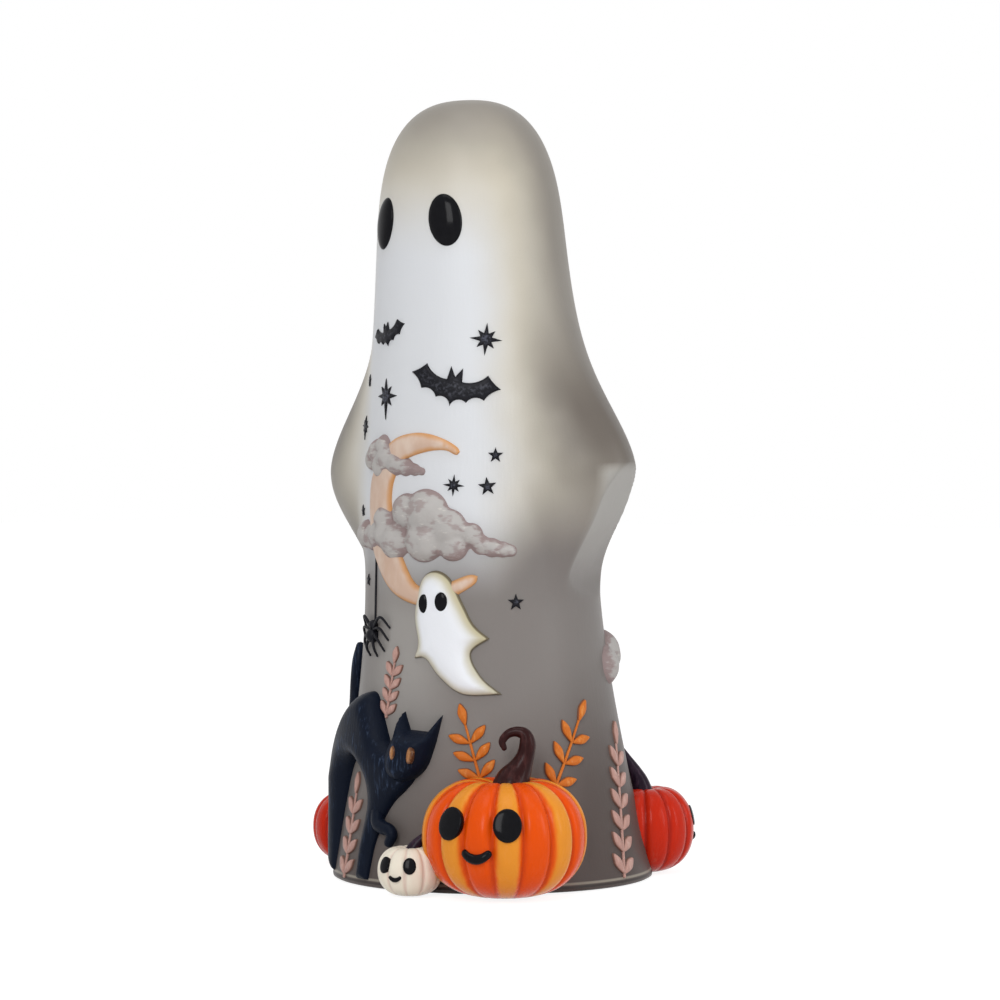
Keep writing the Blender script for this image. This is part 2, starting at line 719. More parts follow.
def cloud_paint():
    """Mauve with off-white dry-brushed over the high places."""
    paint = Finish("cloud_paint")
    strokes = paint.grain(2.2, 4.0, (0.55, 0.55, 1.6), 0.65)
    patches = paint.grain(6.5, 2.0)
    high = (paint.painted("inset") + (patches - 0.5) * 1.5 + (strokes - 0.5) * 1.1).step(0.28, 0.72)
    colour = paint.mix(MAUVE, CLOUD_WHITE, high * 0.92)
    colour = paint.mix(colour, MAUVE, (patches + (strokes - 0.5) * 0.4).step(0.50, 0.36) * 0.6)
    colour = paint.mix(colour, CLOUD_STROKE, strokes.step(0.60, 0.74) * high * 0.6)
    return paint.finish(colour, 0.46 + 0.16 * strokes, strokes, 0.32)


def sheet_paint():
    """White with olive airbrushed round the edge, most of it on one side."""
    paint = Finish("sheet_paint")
    across = paint.painted("place", 0)
    up = paint.painted("place", 1)
    inset = paint.painted("inset")
    drift = paint.grain(6.0, 2.0) - 0.5
    side = (across * 0.75 + up * 0.40 + drift * 4.0).step(-1.0, 7.0)
    rim = (inset + drift * 1.6).step(3.9, 0.3)
    rim_wide = (inset + drift * 1.6).step(6.8, 1.0) * side
    colour = paint.mix(SHEET_WHITE, OLIVE, rim * 0.72)
    colour = paint.mix(colour, OLIVE, rim_wide * 0.75)
    colour = paint.mix(colour, OUTLINE_BROWN, (inset - side * 0.3).step(0.7, 0.15) * 0.85)
    return paint.finish(colour, 0.38 + 0.1 * paint.grain(2.0), paint.grain(1.2), 0.07, Coat_Weight=0.15)


def cat_fur():
    """Blue-black with thin brushed strokes along the fur."""
    paint = Finish("cat_fur")
    strokes = paint.grain(1.1, 4.0, (1.0, 1.0, 0.14), 0.62)
    patches = paint.grain(12.0, 2.0)
    high = paint.painted("inset").step(0.5, 5.0)
    light = strokes.step(0.50, 0.70) * patches.step(0.32, 0.58) * high
    colour = paint.mix(CAT_BLUE, CAT_STROKE, light)
    colour = paint.mix(colour, CAT_SHINE, strokes.step(0.63, 0.78) * light * 0.7)
    return paint.finish(colour, 0.34 + 0.2 * strokes, strokes, 0.22, Specular_IOR_Level=0.07)


def amber_enamel():
    """Amber eye with a darker rim."""
    paint = Finish("amber_enamel")
    colour = paint.mix(AMBER, AMBER_RIM, paint.painted("inset").step(0.45, 0.0))
    colour = paint.mix(colour, AMBER_PALE, paint.grain(1.6).step(0.5, 0.8) * 0.6)
    return paint.finish(colour, 0.22 + 0.1 * paint.grain(1.2), paint.grain(1.0), 0.05, Coat_Weight=0.4)


def pumpkin_enamel(name, rib, groove, pale, stripe=None):
    """Gloss pumpkin: rib colour, darker grooves and, on alternate ribs, a brushed stripe."""
    paint = Finish(name)
    crest = paint.painted("place", 0)
    turn = paint.painted("place", 1)
    strokes = paint.grain(2.6, 4.0, (1.0, 1.0, 0.18), 0.6)
    colour = paint.mix(rib, groove, (crest + (strokes - 0.5) * 0.35).step(0.42, 0.02) * 0.55)
    if stripe:
        band = (turn + (strokes - 0.5) * 0.7).step(-0.15, 0.65)
        colour = paint.mix(colour, stripe, band * (crest + (strokes - 0.5) * 0.3).step(0.0, 0.7) * 0.85)
    light = strokes.step(0.56, 0.76) * crest.step(0.3, 0.9)
    colour = paint.mix(colour, RIB_SHINE, light * pale * 0.4)
    return paint.finish(
        colour, 0.22 + 0.10 * strokes, paint.grain(1.6), 0.06,
        Specular_IOR_Level=0.08, Coat_Weight=0.14, Coat_Roughness=0.12
    )


def stem_enamel(name, colour, light):
    """Dark glossy stem with ridges along it."""
    paint = Finish(name)
    ridges = paint.grain(1.7, 3.0, (1.0, 1.0, 0.35))
    shade = paint.mix(colour, light, ridges.step(0.45, 0.75))
    return paint.finish(shade, 0.24 + 0.14 * ridges, ridges, 0.18, Specular_IOR_Level=0.07, Coat_Weight=0.15)


def leaf_paint(name, colour, light):
    """Leaf with a dark outline and brushed middle."""
    paint = Finish(name)
    inset = paint.painted("inset")
    strokes = paint.grain(1.5, 3.0, (1.0, 1.0, 0.4))
    shade = paint.mix(colour, light, strokes.step(0.46, 0.72) * inset.step(0.2, 0.9))
    shade = paint.mix(shade, LEAF_DARK, (inset + (strokes - 0.5) * 0.2).step(0.34, 0.06) * 0.85)
    return paint.finish(shade, 0.40 + 0.16 * strokes, strokes, 0.10, Coat_Weight=0.12)


def workshop(name, colour, rough, size=1.2, metallic=0.0, depth=0.05):
    """Plain moulded, printed or metal finish for the works in the base."""
    paint = Finish(name)
    speck = paint.grain(size)
    shade = paint.mix(colour, tuple(c * 0.72 for c in colour), speck)
    return paint.finish(shade, rough + 0.12 * speck, paint.grain(0.6), depth, Metallic=metallic)


def shell_ring(bearing, height, lift):
    """Ring of the body, level at the foot and square to the lean at the crown."""
    forward = core_radius(height) * np.cos(np.radians(bearing))
    share = min((HEIGHT - height) / DOME_RISE, 1)
    return skin(bearing, height + share * forward * math.tan(TILT), lift)


def make_shell():
    """Ghost body: a hollow wall with a rounded foot."""
    clay = Clay()
    bearing = np.linspace(-180, 180, BODY_COLUMNS, endpoint=False)
    rows = np.linspace(0, 1, BODY_ROWS, endpoint=False)
    straight = HEIGHT - DOME_RISE
    rise = np.sin(ramp(rows, SIDE_SHARE, 1) * np.pi / 2) ** DOME_EASE
    heights = straight * ramp(rows, 0, SIDE_SHARE) + DOME_RISE * rise
    heights = np.insert(heights, 1, FOOT_ROWS)
    rings = []
    places = []
    for height in heights:
        foot = max(1 - height / FOOT_ROUND, 0)
        ring = shell_ring(bearing, height, -FOOT_ROUND * (1 - math.sqrt(1 - foot ** 2)))
        rings.append(ring)
        around, level = bearing_and_level(ring)[:2]
        side = np.abs(around)
        sleeve = ramp(side, CREASE_BEARING - SLEEVE_EDGE, CREASE_BEARING + SLEEVE_EDGE)
        sleeve = sleeve * ramp(side, *SLEEVE_BACK) * ramp(level, *SLEEVE_TOP)
        places.append(np.column_stack([side / 90, np.full(len(bearing), height), sleeve]))
    rings[0][:, 2] = 0
    inner_rows = np.linspace(0, 1, INNER_ROWS, endpoint=False)
    for height in (HEIGHT - WALL) * np.sin(inner_rows * np.pi / 2):
        squeeze = core_radius(min(height + WALL, HEIGHT)) / core_radius(height)
        ring = shell_ring(bearing, height, -WALL)
        middle = np.array([0.0, -height * math.sin(TILT)])
        ring[:, :2] = middle + (ring[:, :2] - middle) * (squeeze if height > straight else 1)
        rings.insert(0, ring)
        places.insert(0, np.zeros((len(bearing), 3)))
    rings[INNER_ROWS - 1][:, 2] = 0
    crown = skin_at(0.0, HEIGHT)
    ceiling = crown - (0, 0, WALL)
    place = np.vstack([*places, (0, 0, 0), (0, HEIGHT, 0)])
    clay.join(np.vstack([*rings, ceiling, crown]), closed_faces(len(rings), BODY_COLUMNS), None, place)
    show("ghost_shell_glazed", clay, satin_glaze(), "satin_white", "ghost_shell")


# Big eyes
EYE_BEARING = 25.0
EYE_DROP = 47.8
EYE_WIDTH = 12.8
EYE_HEIGHT = 19.6
EYE_TILT = 9.0
EYE_RISE = 1.9
EYE_POWER = 2.6
EYE_SPACING = 0.9
EYE_RINGS = (0.08, 0.25, 0.55)


def eye_bulge(flat, inset):
    """Rise of an eye, full over most of it."""
    reach = np.hypot(flat[:, 0] / (EYE_WIDTH / 2), flat[:, 1] / (EYE_HEIGHT / 2))
    return EYE_RISE * np.sqrt(np.clip(1 - reach ** EYE_POWER, 0, 1))


def make_eyes(enamel):
    """Two domed ovals, tops leaning towards each other."""
    for name, side in (("left_eye", 1), ("right_eye", -1)):
        spot = Spot(side * EYE_BEARING, HEIGHT - EYE_DROP, side * EYE_TILT)
        clay = relief(Clay(), spot, oval(EYE_WIDTH, EYE_HEIGHT), eye_bulge, EYE_SPACING, EYE_RINGS)
        show(f"{name}_enamel", clay, enamel, "black_gloss", name)


def bat_outline(span):
    """Bat with spread scalloped wings, pointed ears and a tail point."""
    half = span / 2
    tail = (0.0, -0.486)
    inner_point = (0.337, -0.337)
    outer_point = (0.697, -0.217)
    wing_tip = (1.0, 0.086)
    wing_corner = (0.674, 0.326)
    neck = (0.171, 0.08)
    right = np.vstack([
        arc_line(tail, (0.13, -0.31), inner_point),
        arc_line(inner_point, (0.51, -0.19), outer_point),
        arc_line(outer_point, (0.83, -0.02), wing_tip),
        arc_line(wing_tip, (0.85, 0.17), wing_corner),
        arc_line(wing_corner, (0.42, 0.12), neck),
        [neck, (0.131, 0.371), (0.0, 0.16)],
    ])
    left = right[1:-1][::-1] * (-1, 1)
    return half * np.vstack([right, left])


def star_outline(radii):
    """Star whose corner radii go round the circle, the first pointing up."""
    angle = np.pi / 2 - 2 * np.pi * np.arange(len(radii)) / len(radii)
    return np.stack([np.array(radii) * np.cos(angle), np.array(radii) * np.sin(angle)], -1)


# Bats: bearing, height, turn and span
BATS = {
    "large_bat": (28.6, 187.6, -11.5, 35.0),
    "small_bat": (-18.0, 207.3, 12.0, 22.0),
}

# Stars: bearing, height, turn, size, and how much longer the lowest ray is
COMPASS_STARS = (
    (46.9, 204.3, -5.0, 12.4, 1.0),
    (-17.4, 183.6, 0.0, 14.0, 1.35),
    (27.5, 150.1, -4.0, 8.5, 1.0),
    (-51.5, 172.6, -6.0, 9.0, 1.3),
)
FIVE_POINT_STARS = (
    (49.1, 161.3, 0.0, 6.0),
    (44.5, 149.7, 6.0, 7.2),
    (56.2, 106.7, 0.0, 6.6),
    (-48.0, 189.8, 0.0, 5.4),
    (-50.0, 140.2, 8.0, 5.0),
    (-34.0, 114.0, -5.0, 5.0),
)
BAT_RISE = 0.85
BAT_EDGE = 0.7
BAT_CROWN = 0.25
BAT_SPACING = 0.9
BAT_RINGS = (0.15, 0.45, 0.9)
STAR_RISE = 0.6
STAR_EDGE = 0.5
STAR_SPACING = 0.7
STAR_RINGS = (0.12, 0.35)

# Short rays and valleys of the stars, as shares of their size
COMPASS_SHORT_RAY = 0.37
COMPASS_VALLEY = 0.19
FIVE_POINT_VALLEY = 0.21


def make_sky():
    """Bats and stars."""
    bat_paint = trim_black()
    bat_rise = soft_edge(BAT_RISE, BAT_EDGE, BAT_CROWN)
    for name, (bearing, height, turn, span) in BATS.items():
        spot = Spot(bearing, height, turn)
        clay = relief(Clay(), spot, bat_outline(span), bat_rise, BAT_SPACING, BAT_RINGS)
        show(f"{name}_painted", clay, bat_paint, "black_trim", name)
    star_paint = star_black()
    star_rise = soft_edge(STAR_RISE, STAR_EDGE)
    clay = Clay()
    for bearing, height, turn, size, tail in COMPASS_STARS:
        valley = COMPASS_VALLEY * size
        radii = [size / 2, valley, COMPASS_SHORT_RAY * size, valley] * 4
        radii[len(radii) // 2] *= tail
        relief(clay, Spot(bearing, height, turn), star_outline(radii), star_rise, STAR_SPACING, STAR_RINGS)
    show("compass_stars_painted", clay, star_paint, "black_trim", "compass_stars")
    clay = Clay()
    for bearing, height, turn, size in FIVE_POINT_STARS:
        radii = [size / 2, FIVE_POINT_VALLEY * size] * 5
        relief(clay, Spot(bearing, height, turn), star_outline(radii), star_rise, STAR_SPACING, STAR_RINGS)
    show("five_point_stars_painted", clay, star_paint, "black_trim", "five_point_stars")


# Crescent moon: its outside from the top horn round to the low one, and its inside back up
MOON_BEARING = 4.6
MOON_HEIGHT = 137.5
MOON_TOP_HORN = (18.4, 25.0)
MOON_LOW_HORN = (24.8, -20.8)
MOON_OUTSIDE = (
    MOON_TOP_HORN, (17.2, 27.0), (13.0, 29.6), (7.0, 31.6), (-0.5, 32.0), (-10.0, 29.6), (-18.5, 23.0),
    (-24.0, 15.5), (-25.6, 8.0), (-25.2, 0.0), (-23.4, -8.0), (-19.8, -15.8), (-10.6, -26.6), (1.5, -31.8),
    (12.6, -31.0), (19.7, -27.0), (24.0, -23.6), MOON_LOW_HORN,
)
MOON_INSIDE = (
    MOON_LOW_HORN, (21.5, -20.6), (12.0, -24.4), (2.7, -24.6), (-4.1, -15.2), (-8.0, -6.0), (-10.2, 2.0),
    (-10.8, 9.0), (-9.0, 15.5), (-3.9, 21.8), (5.8, 25.0), (13.0, 25.6), (16.9, 23.9), MOON_TOP_HORN,
)
MOON_RISE = 1.9
MOON_ROUND = 4.0
MOON_SPACING = 1.2
MOON_RINGS = (0.15, 0.45, 1.0)


def make_moon():
    """Crescent, swollen along its middle."""
    outline = np.vstack([smooth_line(MOON_OUTSIDE)[:-1], smooth_line(MOON_INSIDE)[:-1]])
    spot = Spot(MOON_BEARING, MOON_HEIGHT)
    clay = relief(Clay(), spot, outline, soft_edge(MOON_RISE, MOON_ROUND), MOON_SPACING, MOON_RINGS)
    show("crescent_moon_washed", clay, moon_peach(), "peach", "crescent_moon")


# Clouds: bearing, height, spread and rise of each puff
CLOUDS = {
    "upper_cloud": (
        (-31.5, 160.0, 4.8, 3.2),
        (-26.0, 162.6, 5.0, 3.6),
        (-18.4, 164.6, 4.6, 3.4),
        (-20.5, 157.6, 5.4, 3.8),
        (-14.5, 160.6, 5.4, 4.2),
        (-7.5, 158.2, 4.8, 3.4),
        (0.0, 156.8, 3.6, 2.4),
        (5.8, 155.8, 2.5, 1.7),
        (10.2, 155.2, 1.7, 1.1),
    ),
    "lower_cloud": (
        (-39.5, 131.4, 5.6, 4.1),
        (-29.5, 130.5, 5.4, 3.7),
        (-22.0, 131.2, 5.8, 3.9),
        (-16.0, 137.0, 5.8, 3.9),
        (-14.0, 131.5, 6.2, 4.6),
        (-7.0, 129.0, 7.4, 5.1),
        (1.0, 140.0, 7.0, 4.9),
        (12.4, 139.6, 9.0, 6.2),
        (11.6, 129.6, 8.4, 6.0),
        (24.2, 134.2, 7.2, 5.2),
        (26.8, 127.5, 5.8, 4.0),
        (36.0, 131.8, 4.4, 3.3),
        (40.6, 128.0, 3.8, 2.5),
        (46.0, 127.0, 3.7, 2.4),
        (51.0, 126.4, 3.1, 2.0),
        (54.8, 126.0, 2.4, 1.6),
    ),
    "back_cloud": (
        (120.0, 81.0, 7.6, 4.6),
        (134.0, 85.0, 9.0, 5.4),
        (149.0, 81.0, 8.0, 4.8),
        (162.0, 79.0, 5.4, 3.2),
    ),
}
CLOUD_VOXEL = 0.75
CLOUD_SMOOTHING = 0.5
CLOUD_ROUNDS = 3
CLOUD_SINK = 1.2
CLOUD_RIPPLE = 0.5
CLOUD_RIPPLES_PER_MM = 0.22
CLOUD_CREST = 4.0


def ball(clay, middle, radius, rows=18, columns=28):
    """Round ball."""
    turn = np.linspace(0, 2 * np.pi, columns, endpoint=False)
    rings = []
    for rise in np.linspace(-np.pi / 2, np.pi / 2, rows + 2)[1:-1]:
        ring = np.column_stack([np.cos(turn) * math.cos(rise), np.sin(turn) * math.cos(rise)])
        rings.append(middle + radius * np.column_stack([ring, np.full(columns, math.sin(rise))]))
    ends = [middle - (0, 0, radius), middle + (0, 0, radius)]
    return clay.join(np.vstack([*rings, *ends]), closed_faces(rows, columns))


def melt(clay, name):
    """Melt overlapping puffs into one skin and smooth it."""
    lump = bpy.data.objects.new(name, clay.mesh(name))
    bpy.context.scene.collection.objects.link(lump)
    remesh = lump.modifiers.new("melt", "REMESH")
    remesh.mode = "VOXEL"
    remesh.voxel_size = CLOUD_VOXEL * MM
    smooth = lump.modifiers.new("smooth", "SMOOTH")
    smooth.factor = CLOUD_SMOOTHING
    smooth.iterations = CLOUD_ROUNDS
    made = bpy.data.meshes.new_from_object(lump.evaluated_get(bpy.context.evaluated_depsgraph_get()))
    points = np.empty(len(made.vertices) * 3)
    made.vertices.foreach_get("co", points)
    melted = Clay().join(points.reshape(-1, 3) / MM, [tuple(face.vertices) for face in made.polygons])
    bpy.data.objects.remove(lump)
    bpy.data.meshes.remove(made)
    return melted


def make_clouds():
    """Puffy clouds with brushed ripples."""
    paint = cloud_paint()
    for name, puffs in CLOUDS.items():
        clay = Clay()
        for bearing, height, spread, rise in puffs:
            radius = (spread ** 2 + rise ** 2) / (2 * rise)
            ball(clay, skin_at(bearing, height, rise - radius), radius)
        clay = melt(clay, name)
        bearing, level, reach = bearing_and_level(clay.points)
        lift = np.clip(reach - skin_radius(bearing, level), -CLOUD_SINK, None)
        ripple = np.array([noise.noise(Vector(point) * CLOUD_RIPPLES_PER_MM) for point in clay.points])
        lift = lift + CLOUD_RIPPLE * ripple * np.clip(lift, 0, 1)
        clay.points = skin(bearing, level, lift)
        clay.inset = np.clip(lift / CLOUD_CREST, 0, 1)
        show(f"{name}_brushed", clay, paint, "mauve_cloud", name)


# Little ghost: outline from its right hand round over the head, hands and tail
LITTLE_BEARING = 25.0
LITTLE_HEIGHT = 98.0
LITTLE_RIGHT_HAND = (14.3, -4.6)
LITTLE_LEFT_HAND = (-14.4, -12.2)
LITTLE_TAIL = (19.1, -25.2)
LITTLE_HEAD = (
    LITTLE_RIGHT_HAND, (8.6, 0.6), (4.6, 8.2), (-0.4, 17.6), (-6.4, 20.4), (-11.6, 16.6), (-14.2, 4.0),
    (-12.8, -6.4), LITTLE_LEFT_HAND,
)
LITTLE_BELLY = (LITTLE_LEFT_HAND, (-9.6, -12.4), (-4.0, -19.0), (5.0, -25.2), LITTLE_TAIL)
LITTLE_BACK = (LITTLE_TAIL, (11.5, -18.5), (7.8, -10.0), LITTLE_RIGHT_HAND)
LITTLE_EYES = ((-9.3, 8.4), (-2.8, 9.2))
LITTLE_EYES_SIZE = ((3.9, 7.0), (4.8, 7.0))
LITTLE_EYE_RISE = 0.7
LITTLE_EYE_SINK = 0.9
LITTLE_RISE = 3.4
LITTLE_ROUND = 7.0
LITTLE_SPACING = 1.2
LITTLE_RINGS = (0.12, 0.4, 1.0)


def make_little_ghost(enamel):
    """Small leaning sheet with two eyes."""
    spot = Spot(LITTLE_BEARING, LITTLE_HEIGHT)
    outline = np.vstack([smooth_line(run)[:-1] for run in (LITTLE_HEAD, LITTLE_BELLY, LITTLE_BACK)])
    profile = soft_edge(LITTLE_RISE, LITTLE_ROUND)
    clay = relief(Clay(), spot, outline, profile, LITTLE_SPACING, LITTLE_RINGS)
    show("little_ghost_painted", clay, sheet_paint(), "little_ghost", "little_ghost")
    eyes = Clay()
    for middle, size in zip(LITTLE_EYES, LITTLE_EYES_SIZE):
        flat = np.array([middle])
        on = spot.on_skin(flat, profile(flat, edge_distance(flat, outline)))[0]
        dome(eyes, on, spot.across, spot.up, spot.out, *size, LITTLE_EYE_RISE, LITTLE_EYE_SINK)
    show("little_ghost_eyes_enamel", eyes, enamel, "black_gloss", "little_ghost_eyes")


# Spider on its thread: knee and foot of each leg on one side, from the front pair to the back pair
SPIDER_BEARING = -22.4
SPIDER_HEIGHT = 94.0
SPIDER_LEGS = (
    ((6.4, 6.6), (10.4, 2.6)),
    ((6.2, 2.4), (9.6, -2.0)),
    ((5.0, -1.6), (7.6, -6.2)),
    ((2.8, -4.6), (3.0, -8.4)),
)
SPIDER_HIP = (0.0, 1.2)
SPIDER_LEG = 0.55
SPIDER_LEG_TAPER = (1.3, 0.7)
SPIDER_LEG_LIFTS = (1.2, 2.2, 0.4)
THREAD_RADIUS = 0.45
THREAD_LIFT = 0.25
THREAD_FOOT = 3.0
THREAD_TOP = 29.0
THREAD_STEPS = 24

# Belly and head of the spider: place along the thread, lift off the skin and radius
SPIDER_LUMPS = ((-0.6, 1.2, 2.7), (3.4, 1.0, 1.9))


def make_spider(paint):
    """Spider with jointed legs, and its thread."""
    spot = Spot(SPIDER_BEARING, SPIDER_HEIGHT)
    clay = Clay()
    for along, lift, radius in SPIDER_LUMPS:
        ball(clay, spot.on_skin([(0.0, along)], lift)[0], radius)
    for knee, foot in SPIDER_LEGS:
        for side in (1, -1):
            flat = np.array([SPIDER_HIP, knee, foot]) * (side, 1)
            line = smooth_line(np.column_stack([flat, SPIDER_LEG_LIFTS]), steps=5)
            radii = SPIDER_LEG * np.linspace(*SPIDER_LEG_TAPER, len(line))
            tube(clay, spot.on_skin(line[:, :2], line[:, 2]), radii, sides=8)
    show("spider_painted", clay, paint, "black_trim", "spider")
    flat = np.column_stack([np.zeros(THREAD_STEPS), np.linspace(THREAD_FOOT, THREAD_TOP, THREAD_STEPS)])
    clay = tube(Clay(), spot.on_skin(flat, THREAD_LIFT), np.full(THREAD_STEPS, THREAD_RADIUS), sides=8)
    show("spider_thread_painted", clay, paint, "black_trim", "spider_thread")


# Cat in profile with an arched back: outline runs from the hind foot over the back, and down the legs
CAT_BEARING = -20.0
CAT_HEIGHT = 45.0
CAT_HEEL = (-30.5, -42.0)
CAT_NAPE = (13.5, 10.0)
CAT_TOE = (10.6, -42.5)
CAT_FRONT_HEEL = (4.0, -42.5)
CAT_HIND_TOE = (-21.0, -42.0)
CAT_BACK = (
    CAT_HEEL, (-34.0, -25.0), (-34.5, -8.0), (-28.5, 6.0), (-19.0, 16.5), (-10.2, 23.4), (-2.6, 27.0),
    (4.0, 26.6), (8.6, 19.2), CAT_NAPE,
)
CAT_CHEST = (
    CAT_NAPE, (21.0, 5.0), (26.2, -1.8), (23.6, -7.2), (19.0, -12.4), (15.0, -19.6), (11.8, -30.0), CAT_TOE,
)
CAT_BELLY = (
    CAT_FRONT_HEEL, (3.8, -30.0), (5.4, -18.0), (5.4, -8.0), (1.0, -0.4), (-6.0, 2.6), (-12.8, -1.6),
    (-17.6, -13.0), (-20.0, -25.0), CAT_HIND_TOE,
)
CAT_HEAD = (
    (17.8, 12.5), (16.6, 9.5), (15.6, 5.0), (16.8, -0.6), (19.6, -3.6), (24.0, -4.4), (28.2, -1.0),
    (30.4, 3.0), (31.4, 8.0), (32.0, 11.5),
)
CAT_EARS = ((33.0, 21.6), (29.3, 14.9), (22.4, 14.9), (19.4, 21.4))
CAT_PAW = ((12.0, -16.6), (14.5, -20.4), (17.6, -21.6), (20.8, -22.2), (22.2, -24.2), (21.2, -27.2))
CAT_PAW_LIFTS = (1.0, 2.6, 3.4, 3.8, 3.8, 3.6)
CAT_PAW_RADII = (2.6, 2.7, 2.6, 2.4, 2.2, 1.8)
CAT_EYES = ((21.6, 7.2), (27.2, 7.0))
CAT_EYES_SIZE = ((3.2, 5.6), (4.2, 6.2))
CAT_EYE_RISE = 0.7
CAT_EYE_SINK = 1.2
CAT_EYE_SEAT = 0.4
CAT_RUMP_RISE = 7.8
CAT_FOOT_RISE = 2.4
CAT_LEG_RISE = 3.6
CAT_CHEST_RISE = 7.6
CAT_ROUND = 6.5
CAT_HEAD_RISE = 9.6
CAT_HEAD_ROUND = 6.0
CAT_SPACING = 1.4
CAT_HEAD_SPACING = 1.2
CAT_RINGS = (0.15, 0.5, 1.2, 2.2)

# Where the cat's rise goes from hind to front, from front leg to chest, and from hind foot to rump
CAT_FORWARD = (-10.0, 0.0)
CAT_CHEST_LEVELS = (-16.0, 2.0)
CAT_HAUNCH_LEVELS = (-42.0, -6.0)

# Cat's tail: bearing, height and radius along it, from the rump to the tip
CAT_TAIL = (
    (-60.0, 44.0, 3.4),
    (-63.5, 54.0, 3.2),
    (-64.0, 64.0, 3.0),
    (-61.0, 74.0, 2.8),
    (-59.5, 82.0, 2.5),
    (-61.0, 88.0, 1.7),
)
CAT_TAIL_LIFT = 2.2
CAT_TAIL_INSET = 4.0


def cat_swell(flat, inset):
    """Rise of the cat's body: high at the rump, low at the front leg."""
    across, up = flat.T
    hind = CAT_FOOT_RISE + (CAT_RUMP_RISE - CAT_FOOT_RISE) * ramp(up, *CAT_HAUNCH_LEVELS)
    front = CAT_LEG_RISE + (CAT_CHEST_RISE - CAT_LEG_RISE) * ramp(up, *CAT_CHEST_LEVELS)
    height = hind + ramp(across, *CAT_FORWARD) * (front - hind)
    return height * rounded(inset, CAT_ROUND)


def make_cat():
    """Cat with its head and raised paw in front of the body."""
    spot = Spot(CAT_BEARING, CAT_HEIGHT)
    fur = cat_fur()
    body = np.vstack([smooth_line(CAT_BACK)[:-1], smooth_line(CAT_CHEST), smooth_line(CAT_BELLY)])
    clay = relief(Clay(), spot, body, cat_swell, CAT_SPACING, CAT_RINGS)
    head = np.vstack([smooth_line(CAT_HEAD), CAT_EARS])
    relief(clay, spot, head, soft_edge(CAT_HEAD_RISE, CAT_HEAD_ROUND), CAT_HEAD_SPACING, CAT_RINGS)
    line = smooth_line(np.column_stack([CAT_PAW, CAT_PAW_LIFTS, CAT_PAW_RADII]), steps=5)
    tube(clay, spot.on_skin(line[:, :2], line[:, 2]), line[:, 3])
    show("black_cat_brushed", clay, fur, "cat_black", "black_cat")
    eyes = Clay()
    for middle, size in zip(CAT_EYES, CAT_EYES_SIZE):
        on = spot.on_skin([middle], CAT_HEAD_RISE - CAT_EYE_SEAT)[0]
        dome(eyes, on, spot.across, spot.up, spot.out, *size, CAT_EYE_RISE, CAT_EYE_SINK)
    show("cat_eyes_enamel", eyes, amber_enamel(), "amber", "cat_eyes")
    line = smooth_line([(*skin_at(b, h, CAT_TAIL_LIFT), r) for b, h, r in CAT_TAIL], steps=6)
    clay = tube(Clay(), line[:, :3], line[:, 3], sides=16)
    clay.inset[:] = CAT_TAIL_INSET
    show("cat_tail_brushed", clay, fur, "cat_black", "cat_tail")


# Pumpkins: bearing and reach of the middle, width, height, ribs, bearing of the face, then the turn, width
# and height of the eyes, and the width of the smile
FRONT_EYE_WIDTH = 10.4
PUMPKINS = {
    "front_pumpkin": (44.2, 66.0, 60.3, 44.4, 16, 20.0, (22.0, FRONT_EYE_WIDTH, 12.2), 9.4),
    "white_pumpkin": (14.8, 69.7, 23.9, 18.6, 10, 14.0, (26.5, 4.8, 6.1), 4.2),
    "right_pumpkin": (138.0, 59.0, 39.8, 34.0, 12, 146.0, (21.0, 6.6, 8.0), 7.0),
    "left_pumpkin": (-86.0, 65.5, 35.9, 29.0, 12, -110.0, (21.0, 6.0, 7.2), 6.4),
}
RIB_DEPTH = 0.07
RIB_SHARP = 2.2
RIB_FADE = 0.3
RIB_SAG = 0.035
RIB_COLUMNS = 14
PUMPKIN_ROWS = 56
PUMPKIN_POLE = 88.0
PUMPKIN_SQUARE = 0.72
PUMPKIN_ROUND = 0.92
PUMPKIN_FOOT = 0.3
PUMPKIN_BURY = 1.2
CROWN_DIP = 0.09
CROWN_REACH = 0.34
PUMPKIN_EYE_SHARE = 0.64
PUMPKIN_EYE_RISE = 0.8
PUMPKIN_EYE_SINK = 1.6
SMILE_SHARE = 0.44
SMILE_DIP = 0.22
SMILE_RADIUS = 0.2
SMILE_TAPER = 0.25
SMILE_LIFT = 0.2
SMILE_STEPS = 15

# Stems: the bearing that each leans along, then offsets along it and up, with a radius at each point
STEMS = {
    "front_pumpkin": (130.0, (
        (2.6, -6.0, 8.8),
        (2.9, -2.6, 7.8),
        (3.6, 0.6, 6.4),
        (5.8, 4.8, 4.4),
        (7.6, 9.0, 3.3),
        (8.4, 13.4, 3.0),
        (7.4, 16.7, 2.4),
        (4.4, 17.8, 1.9),
        (1.2, 16.9, 1.6),
        (-0.8, 14.2, 1.4),
        (0.0, 11.6, 1.0),
    )),
    "white_pumpkin": (130.0, (
        (0.4, -3.0, 3.0),
        (1.2, -0.8, 2.6),
        (2.4, 1.0, 2.2),
        (4.0, 2.8, 1.7),
        (5.4, 4.4, 1.2),
    )),
    "right_pumpkin": (-45.0, (
        (0.0, -5.0, 5.2),
        (0.4, -1.5, 4.4),
        (1.4, 2.5, 3.6),
        (3.6, 6.5, 3.0),
        (6.2, 10.4, 2.5),
        (8.4, 14.4, 1.7),
    )),
    "left_pumpkin": (94.0, (
        (0.0, -4.0, 4.4),
        (0.2, -1.5, 3.6),
        (0.5, 2.0, 3.0),
        (1.4, 5.0, 2.4),
        (2.6, 8.0, 1.5),
    )),
}
STEM_SEAT = 0.5


def bearing_way(bearing):
    """Level direction along a bearing."""
    angle = math.radians(bearing)
    return np.array([math.sin(angle), -math.cos(angle), 0.0])


